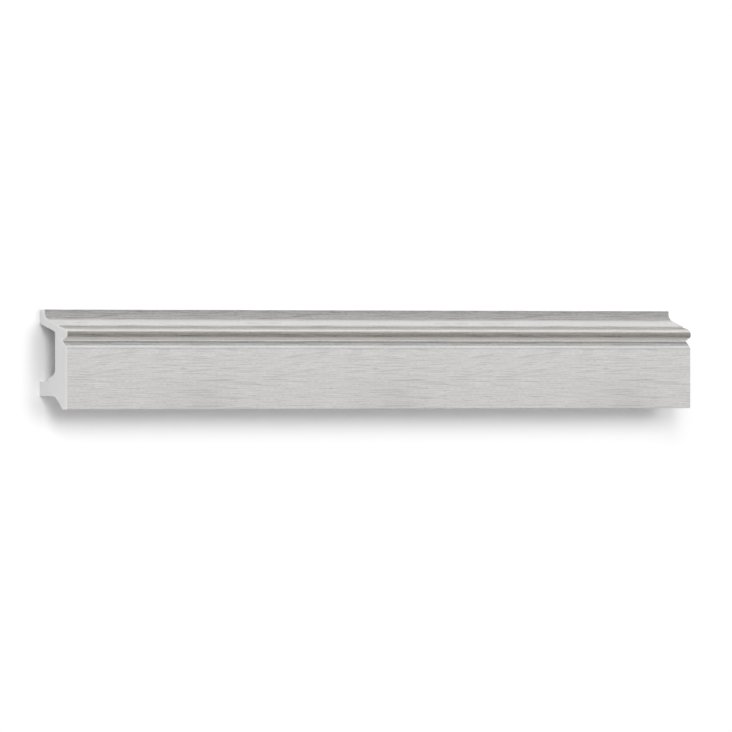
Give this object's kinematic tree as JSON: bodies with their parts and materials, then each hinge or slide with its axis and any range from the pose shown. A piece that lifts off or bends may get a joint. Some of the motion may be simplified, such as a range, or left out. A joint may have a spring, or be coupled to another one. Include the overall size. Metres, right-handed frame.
{
  "type": "skirting board",
  "caption": "Wood-look skirting board with a coved and beaded head, a flat face and an open cable channel along its back.",
  "frame": {"origin": "middle of the footprint: on the wall plane, half way along the length and half way up the height", "axes": "the board lies on its back; +X along its length, +Y towards the edge that is uppermost on the wall, +Z out of its visible face"},
  "size_m": [1, 0.08, 0.026],
  "materials": {
    "faced_polymer": "rigid foamed polymer with a printed pale wood-grain film on its face; bare light grey on the back and the sawn ends"
  },
  "bodies": {
    "root": {"skirting_board": "faced_polymer"}
  },
  "joints": []
}
